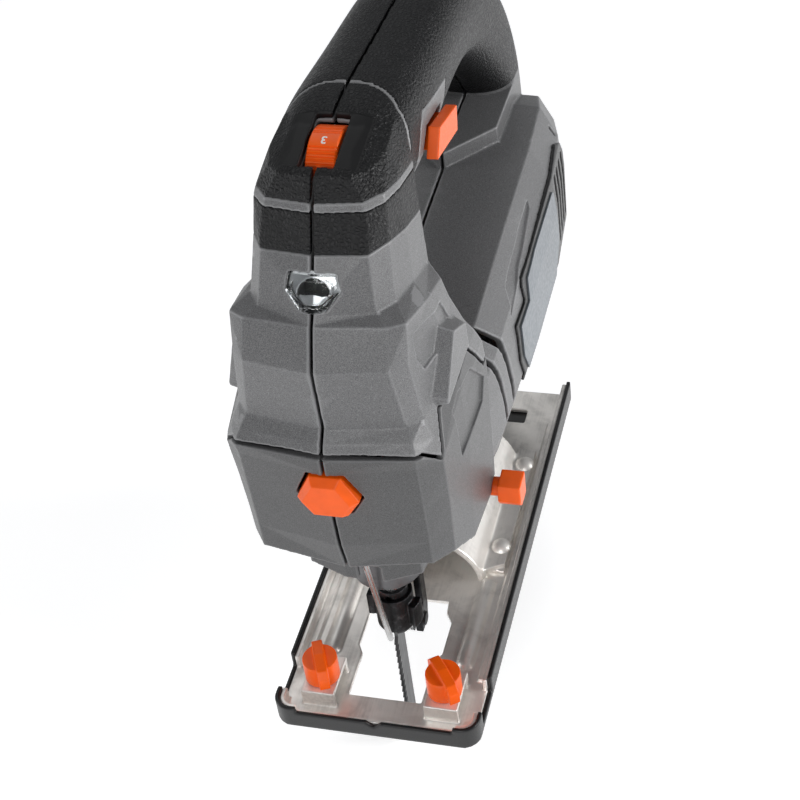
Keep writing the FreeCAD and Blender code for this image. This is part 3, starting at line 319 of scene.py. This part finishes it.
def laminated(name, colour):
    """Edges of stacked sheets across the motor axis."""
    f = Finish(name, Metallic=0.9)
    sheets = f.noise(90, 2, 0.5, stretch=(1, 30, 1))
    f.paint(f.colours(sheets, [(0.35, scaled(colour, 0.5)), (0.65, scaled(colour, 1.4))]))
    f.dull(f.spread(sheets, 0.3, 0.7, 0.6, 0.42))
    return f.raise_by((sheets, 0.00008)).mat


def board(name, colour):
    """Solder mask with faint tracks."""
    f = Finish(name)
    tracks = f.cells(500, stretch=(1, 0.3, 1))
    f.paint(f.colours(tracks, [(0.02, scaled(colour, 1.8)), (0.08, colour)]))
    f.dull(f.spread(f.noise(800, 2), 0.3, 0.7, 0.3, 0.45))
    return f.raise_by((tracks, 0.00003)).mat


def felt(name, colour):
    f = Finish(name, Sheen_Weight=0.4)
    fibres = f.noise(1800, 5, 0.8, warp=1.5)
    f.paint(f.colours(fibres, [(0.3, scaled(colour, 0.6)), (0.7, scaled(colour, 1.4))]))
    f.dull(f.spread(fibres, 0.3, 0.7, 0.85, 0.98))
    return f.raise_by((fibres, 0.0002)).mat


def printed_plate(name, colour):
    """Blank printed plate under a thin lacquer."""
    f = Finish(name, Coat_Weight=0.3, Coat_Roughness=0.25)
    fade = f.noise(30, 3)
    f.paint(f.colours(fade, [(0.3, scaled(colour, 0.9)), (0.7, scaled(colour, 1.08))]))
    f.dull(f.spread(f.noise(900, 3), 0.3, 0.7, 0.32, 0.48))
    return f.raise_by((f.noise(1600, 2), 0.00001)).mat


GREY = srgb(104, 104, 105)
RUBBER = srgb(13, 13, 15)
MATERIALS = {
    "housing_grey": moulded_plastic("housing_grey", GREY, 0.42),
    # cover_grey is the housing grey darkened to 0.54. This is painted shade on the lower gear
    # cover, which is moulded in the same grey.
    "cover_grey": moulded_plastic("cover_grey", scaled(GREY, 0.54), 0.42),
    "grip_rubber": leather_rubber("grip_rubber", RUBBER, 0.36),
    "orange_plastic": gloss_plastic("orange_plastic", (0.95, 0.115, 0.002)),
    "black_plastic": moulded_plastic("black_plastic", srgb(13, 13, 14), 0.36, 0.3),
    "label_grey": printed_plate("label_grey", srgb(96, 103, 110)),
    "clear_lens": clear_lens("clear_lens"),
    "reflector": mirror_coat("reflector"),
    "circuit": board("circuit", (0.05, 0.06, 0.05)),
    "cast_alloy": cast_metal("cast_alloy", (0.16, 0.16, 0.165), 0.42),
    "bright_steel": brushed_steel("bright_steel", (0.93, 0.9, 0.86), 0.4, wear=0.35, metal=0.68,
                                  drawn=0.22),
    "dark_steel": oxide_steel("dark_steel", (0.035, 0.035, 0.037), 0.42),
    "hard_steel": brushed_steel("hard_steel", (0.5, 0.5, 0.5), 0.22, streak=(60, 60, 1.5)),
    "blade_steel": brushed_steel("blade_steel", (0.09, 0.09, 0.093), 0.34, streak=(60, 60, 2)),
    "laminate": laminated("laminate", (0.2, 0.2, 0.21)),
    "copper": winding("copper", (0.62, 0.22, 0.08)),
    "brass": brushed_steel("brass", (0.72, 0.5, 0.22), 0.3, wear=0.35),
    "carbon": moulded_plastic("carbon", (0.025, 0.025, 0.026), 0.6, 0.4),
    "felt": felt("felt", (0.1, 0.09, 0.08)),
    "fan_plastic": moulded_plastic("fan_plastic", (0.04, 0.04, 0.044), 0.5),
}
# Painted light: a brighter copy of orange_plastic that lifts the speed dial, which faces away from
# the key light.
DIAL_ORANGE_PAINTED_LIGHT = gloss_plastic("dial_orange_painted_light", (1.0, 0.125, 0.006))
DIAL_PRINT = printed_plate("dial_print", (0.85, 0.85, 0.83))
CAP_PAD = (0.0107, -0.0058, 0.0135)      # smooth pad round the speed wheel: half width, y0, y1
CAP_RUBBER = leather_rubber("cap_rubber", RUBBER, 0.36, CAP_PAD)


# ---------------------------------------------------------------- mesh helpers
def add_piece(name, mesh, body, slot, material, *replaced):
    piece = bpy.data.objects.new(name, mesh)
    bpy.context.scene.collection.objects.link(piece)
    mesh.materials.clear()
    mesh.materials.append(material)
    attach(piece, body)
    if replaced:
        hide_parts(*replaced)
    return piece


def evaluated_mesh(piece):
    """New mesh of an object with its modifiers applied or its curve filled."""
    bpy.context.view_layer.update()
    return bpy.data.meshes.new_from_object(
        piece.evaluated_get(bpy.context.evaluated_depsgraph_get()))


def softened(source, voxel, rounds, share):
    """Mesh of an object with its edges rounded the way moulding or stamping leaves them."""
    copy = bpy.data.objects.new("softened", source.data.copy())
    bpy.context.scene.collection.objects.link(copy)
    remesh = copy.modifiers.new("remesh", "REMESH")
    remesh.mode = "VOXEL"
    remesh.voxel_size = voxel
    remesh.use_smooth_shade = True
    smooth = copy.modifiers.new("smooth", "SMOOTH")
    smooth.factor = 0.5
    smooth.iterations = rounds
    thin = copy.modifiers.new("thin", "DECIMATE")
    thin.ratio = share
    copy.data.materials.clear()
    mesh = evaluated_mesh(copy)
    old = copy.data
    bpy.data.objects.remove(copy)
    bpy.data.meshes.remove(old)
    return mesh


# Node: voxel in mm, smoothing rounds and the share of faces kept.
MOULDED = {
    "housing_left": (0.38, 2, 0.3), "housing_right": (0.38, 2, 0.3),
    "grip_left": (0.4, 3, 0.3), "grip_right": (0.4, 3, 0.3),
    "nose_cap_left": (0.35, 2, 0.3), "nose_cap_right": (0.35, 2, 0.3),
    "lower_cover_left": (0.35, 2, 0.3), "lower_cover_right": (0.35, 2, 0.3),
    "light_button": (0.2, 5, 0.5), "lamp_lens": (0.2, 3, 0.5), "lamp_reflector": (0.2, 3, 0.5),
    "trigger": (0.3, 6, 0.5), "lock_button": (0.25, 5, 0.5), "pendulum_lever": (0.25, 5, 0.5),
    "gear_case": (0.4, 4, 0.4), "blade_holder": (0.25, 3, 0.5), "clamp_collar": (0.25, 5, 0.5),
    "guide_fork": (0.25, 4, 0.5), "foot": (0.45, 5, 0.4), "base_shoe": (0.4, 5, 0.3),
    "base_plate": (0.3, 3, 0.3), "base_bracket": (0.35, 6, 0.4),
    "fence_knob_left": (0.22, 6, 0.5), "fence_knob_right": (0.22, 6, 0.5),
    "side_panels": (0.4, 4, 0.4), "cord_gland": (0.35, 5, 0.5), "dust_port": (0.4, 4, 0.5),
}


def mould_shells():
    """Replace each moulded, cast or stamped CAD node by its soft-edged mesh."""
    for node, (voxel, rounds, share) in MOULDED.items():
        mesh = softened(NODES[node], voxel * MM, rounds, share)
        slot = SLOT_OF[node]
        material = CAP_RUBBER if node.startswith("nose_cap") else MATERIALS[slot]
        add_piece(node + "_moulded", mesh, BODY_OF[node], slot, material, node)


# ---------------------------------------------------------------- speed dial
DIAL_STEPS = 6
DIAL_RIBS = 9              # ribs between two pads
DIAL_GROOVE = 0.00035
DIAL_EDGE = 0.00045        # chamfer of the rim
DIAL_HUB_R = 0.0022
DIAL_SHOWN = math.radians(14)   # how far the shown number leans towards the front
DIAL_PAD_SHARE = 0.32      # share of each step that is the smooth pad with its number
DIAL_POINTS = 60           # points round the wheel in each step
DIGIT_SIZE = 0.0034
DIGIT_RAISE = 0.00002      # middle of a digit's thickness above its pad
SHOWN_NUMBER = 3


def dial_radius(share, radius):
    """Outer radius at a share of one step: a smooth pad, then fine ribs."""
    if share < DIAL_PAD_SHARE:
        return radius
    phase = (share - DIAL_PAD_SHARE) / (1 - DIAL_PAD_SHARE) * DIAL_RIBS
    return radius - DIAL_GROOVE * max(0.0, math.sin(2 * math.pi * phase))


def build_dial():
    """Thumb wheel with ribbed stretches between smooth pads that carry the numbers."""
    low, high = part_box("speed_dial")
    centre = (low + high) / 2
    radius = (high.z - low.z) / 2 - 0.00005
    half = (high.x - low.x) / 2
    edge = DIAL_EDGE
    rings = ((half, DIAL_HUB_R), (half, radius - 2 * edge),
             (half - edge * 0.3, radius - edge * 0.8), (half - edge, radius),
             (edge - half, radius), (edge * 0.3 - half, radius - edge * 0.8),
             (-half, radius - 2 * edge), (-half, DIAL_HUB_R))
    steps = DIAL_STEPS * DIAL_POINTS
    verts = []
    for x, r in rings:
        for k in range(steps):
            share = (k / DIAL_POINTS) % 1
            grown = r - (radius - dial_radius(share, radius)) if r > radius - edge else r
            turn = (2 * math.pi * k / steps + math.pi / 2 + DIAL_SHOWN
                    - math.pi * DIAL_PAD_SHARE / DIAL_STEPS)
            verts.append((centre.x + x, centre.y + grown * math.cos(turn),
                          centre.z + grown * math.sin(turn)))
    faces = []
    for i in range(len(rings)):
        here = i * steps
        there = (i + 1) % len(rings) * steps
        for k in range(steps):
            after = (k + 1) % steps
            faces.append((here + k, here + after, there + after, there + k))
    mesh = bpy.data.meshes.new("dial_wheel")
    mesh.from_pydata(verts, [], faces)
    mesh.validate()
    add_piece("dial_wheel", mesh, "speed_dial", "orange_plastic", DIAL_ORANGE_PAINTED_LIGHT, "speed_dial")
    for number in range(1, DIAL_STEPS + 1):
        turn = 2 * math.pi * (number - SHOWN_NUMBER) / DIAL_STEPS - DIAL_SHOWN
        digit_piece(number, centre, radius, turn)


def digit_piece(number, centre, radius, turn):
    """Raised number bent round the wheel, the right way up for someone behind the tool."""
    curve = bpy.data.curves.new("digit", "FONT")
    curve.body = str(number)
    curve.size = DIGIT_SIZE
    curve.align_x = "CENTER"
    curve.align_y = "CENTER"
    curve.extrude = 0.00008
    curve.offset = 0.00006
    text = bpy.data.objects.new("digit", curve)
    bpy.context.scene.collection.objects.link(text)
    mesh = evaluated_mesh(text)
    bpy.data.objects.remove(text)
    for v in mesh.vertices:
        angle = turn - v.co.y / radius
        reach = radius + v.co.z + DIGIT_RAISE
        v.co = Vector((centre.x - v.co.x, centre.y + reach * math.sin(angle),
                       centre.z + reach * math.cos(angle)))
    add_piece(f"dial_number_{number}", mesh, "speed_dial", "label_grey", DIAL_PRINT)


def dress_cad_nodes():
    """Give every carried-over CAD node the material of its slot."""
    for name, node in NODES.items():
        node.data.materials.clear()
        node.data.materials.append(MATERIALS[SLOT_OF[name]])


# ---------------------------------------------------------------- stage, light and camera
FLOOR_GAP = 0.0015         # below the lowest point of the tool
FLOOR_HALF = 4.0
FLOOR_GLOW = 0.52
STUDIO_WHITE = (0.94, 0.97, 1.0, 1)
STUDIO_STRENGTH = 0.2
LIGHT_AIM = (0, 0.03, 0.08)
# Name, place, disc size in metres and power in watts.
LIGHTS = [("key", (1.15, 0.2, 0.42), 0.5, 9.8), ("front", (0.05, -1.1, 0.72), 0.5, 5.3),
          ("left", (-1.1, -0.2, 0.45), 0.6, 3.5), ("sheen", (-0.31, 0.77, 1.0), 0.9, 1.6)]


def build_stage():
    """Pale plain floor that glows a little, so it stays white under soft lights."""
    floor_z = CAD_BOX[0][2] - FLOOR_GAP
    mesh = bpy.data.meshes.new("floor")
    half = FLOOR_HALF
    mesh.from_pydata([(-half, -half, floor_z), (half, -half, floor_z), (half, half, floor_z),
                      (-half, half, floor_z)], [], [(0, 1, 2, 3)])
    floor = bpy.data.objects.new("floor", mesh)
    bpy.context.scene.collection.objects.link(floor)
    f = Finish("pale_floor")
    f.paint(f.colours(f.noise(6, 3), [(0.3, (0.86, 0.86, 0.87)), (0.7, (0.9, 0.9, 0.9))]))
    f.dull(f.spread(f.noise(40, 2), 0.3, 0.7, 0.7, 0.8))
    f.shader.inputs["Emission Color"].default_value = (1, 1, 1, 1)
    f.shader.inputs["Emission Strength"].default_value = FLOOR_GLOW
    mesh.materials.append(f.mat)


def area_light(name, place, size, power):
    data = bpy.data.lights.new(name, "AREA")
    data.shape = "DISK"
    data.size = size
    data.energy = power
    lamp = bpy.data.objects.new(name, data)
    bpy.context.scene.collection.objects.link(lamp)
    lamp.location = place
    lamp.rotation_euler = (Vector(LIGHT_AIM) - Vector(place)).to_track_quat("-Z", "Y").to_euler()


def build_light():
    world = bpy.data.worlds.new("studio")
    world.use_nodes = True
    background = world.node_tree.nodes["Background"]
    background.inputs["Color"].default_value = STUDIO_WHITE
    background.inputs["Strength"].default_value = STUDIO_STRENGTH
    bpy.context.scene.world = world
    for name, place, size, power in LIGHTS:
        area_light(name, place, size, power)
    bpy.context.scene.view_settings.view_transform = "Standard"


CAMERA_AT = Vector((133.1, -343.7, 426.6)) * MM
CAMERA_AIM = Vector((11.5, 16.5, 77.0)) * MM
CAMERA_ROLL = math.radians(-7.54)
CAMERA_LENS = 76.5
CAMERA_SHIFT = (-0.0318, 0.0611)


def build_camera():
    ahead = (CAMERA_AIM - CAMERA_AT).normalized()
    right = ahead.cross(Vector((0, 0, 1))).normalized()
    up = right.cross(ahead)
    c = math.cos(CAMERA_ROLL)
    s = math.sin(CAMERA_ROLL)
    right, up = right * c + up * s, up * c - right * s
    data = bpy.data.cameras.new("camera")
    data.lens = CAMERA_LENS
    data.sensor_width = 36
    data.shift_x, data.shift_y = CAMERA_SHIFT
    data.clip_start = 0.01
    camera = bpy.data.objects.new("camera", data)
    bpy.context.scene.collection.objects.link(camera)
    turn = Matrix((right, up, -ahead)).transposed()
    camera.matrix_world = Matrix.Translation(CAMERA_AT) @ turn.to_4x4()
    bpy.context.scene.camera = camera


build_camera()
build_stage()
build_light()
dress_cad_nodes()
mould_shells()
build_dial()
